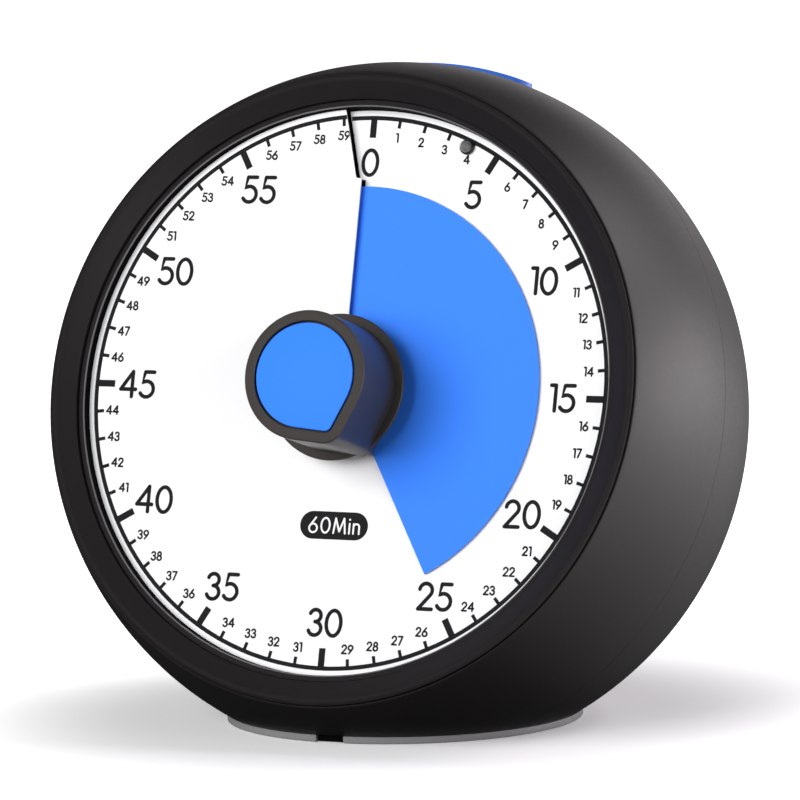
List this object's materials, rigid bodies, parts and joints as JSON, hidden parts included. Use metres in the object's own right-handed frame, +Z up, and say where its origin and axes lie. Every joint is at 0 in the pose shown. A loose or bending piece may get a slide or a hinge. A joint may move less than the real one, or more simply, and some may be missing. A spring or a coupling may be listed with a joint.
{
  "type": "visual countdown timer",
  "caption": "Ball-shaped visual countdown timer: slit spiral dial with a coloured disc that screws out as the pointed knob turns, top button, tilted case on a flat round foot.",
  "frame": {"origin": "centre of the foot pad's lower face, on the surface the timer stands on", "axes": "+Z up, -Y to the front where the dial faces, +X to the viewer's right"},
  "size_m": [0.1648, 0.1381, 0.1549],
  "materials": {
    "case_black": "soft matte moulded",
    "bezel_black": "satin moulded",
    "pad_grey": "matt",
    "dial_white": "smooth matt",
    "disc_blue": "smooth satin",
    "knob_grey": "satin moulded",
    "inlay_blue": "smooth satin",
    "button_blue": "smooth satin",
    "led_grey": "diffused dome",
    "inner_black": "moulded",
    "hub_white": "moulded acetal",
    "gear_acetal": "moulded acetal",
    "brass": "machined",
    "steel": "drawn",
    "board_green": "solder mask",
    "switch_black": "moulded",
    "cell_wrap": "shrink film"
  },
  "bodies": {
    "case": {"front_shell": "case_black", "rear_shell": "case_black", "bezel": "bezel_black", "base_pad": "pad_grey", "base_plate": "inner_black", "chassis": "inner_black", "dial_plate": "dial_white", "lift_cam": "hub_white", "bearing_bush": "brass", "status_led": "led_grey", "circuit_board": "board_green", "buzzer": "switch_black", "switch_housing": "steel", "switch_board": "board_green", "front_plate": "brass", "rear_plate": "brass", "plate_pillars": "steel", "motor": "steel", "battery_tray": "inner_black", "batteries": "cell_wrap", "battery_contacts": "steel", "shell_screws": "steel", "movement_screws": "steel"},
    "knob_set": {"knob": "knob_grey", "knob_inlay": "inlay_blue", "spindle": "steel", "main_gear": "gear_acetal"},
    "disc_set": {"blue_disc": "disc_blue", "disc_hub": "hub_white"},
    "idler": {"idler_gear": "gear_acetal"},
    "motor_rotor": {"motor_pinion": "brass"},
    "button": {"top_button": "button_blue", "switch_plunger": "switch_black"},
    "door": {"battery_door": "case_black"}
  },
  "joints": [
    {"name": "knob_turn", "type": "hinge", "parent": "case", "child": "knob_set", "pos_m": [0, 0, 0.0725], "axis": [0, -0.9648, 0.263], "range_deg": [-210, 150]},
    {"name": "disc_lift", "type": "slide", "parent": "knob_set", "child": "disc_set", "axis": [0, -0.9648, 0.263], "range_m": [-0.00096, 0.00135]},
    {"name": "idler_turn", "type": "hinge", "parent": "case", "child": "idler", "pos_m": [0.018, 0, 0.0725], "axis": [0, -0.9648, 0.263], "range_deg": [-750.5, 1050.5]},
    {"name": "motor_turn", "type": "hinge", "parent": "case", "child": "motor_rotor", "pos_m": [0.018, -0.00394, 0.05803], "axis": [0, -0.9648, 0.263], "range_deg": [-4201, 3001]},
    {"name": "button_press", "type": "slide", "parent": "case", "child": "button", "axis": [0, 0.263, 0.9648], "range_m": [-0.0005, 0], "stiffness_N_per_m": 1000, "springref_m": 0.0004},
    {"name": "door_pull", "type": "slide", "parent": "case", "child": "door", "axis": [0, 0.9648, -0.263], "range_m": [0, 0.012]}
  ],
  "couplings": [
    {"joint": "disc_lift", "follows": "knob_turn", "m_per_rad": -0.00036606},
    {"joint": "idler_turn", "follows": "knob_turn", "ratio": -5},
    {"joint": "motor_turn", "follows": "knob_turn", "ratio": 20}
  ]
}
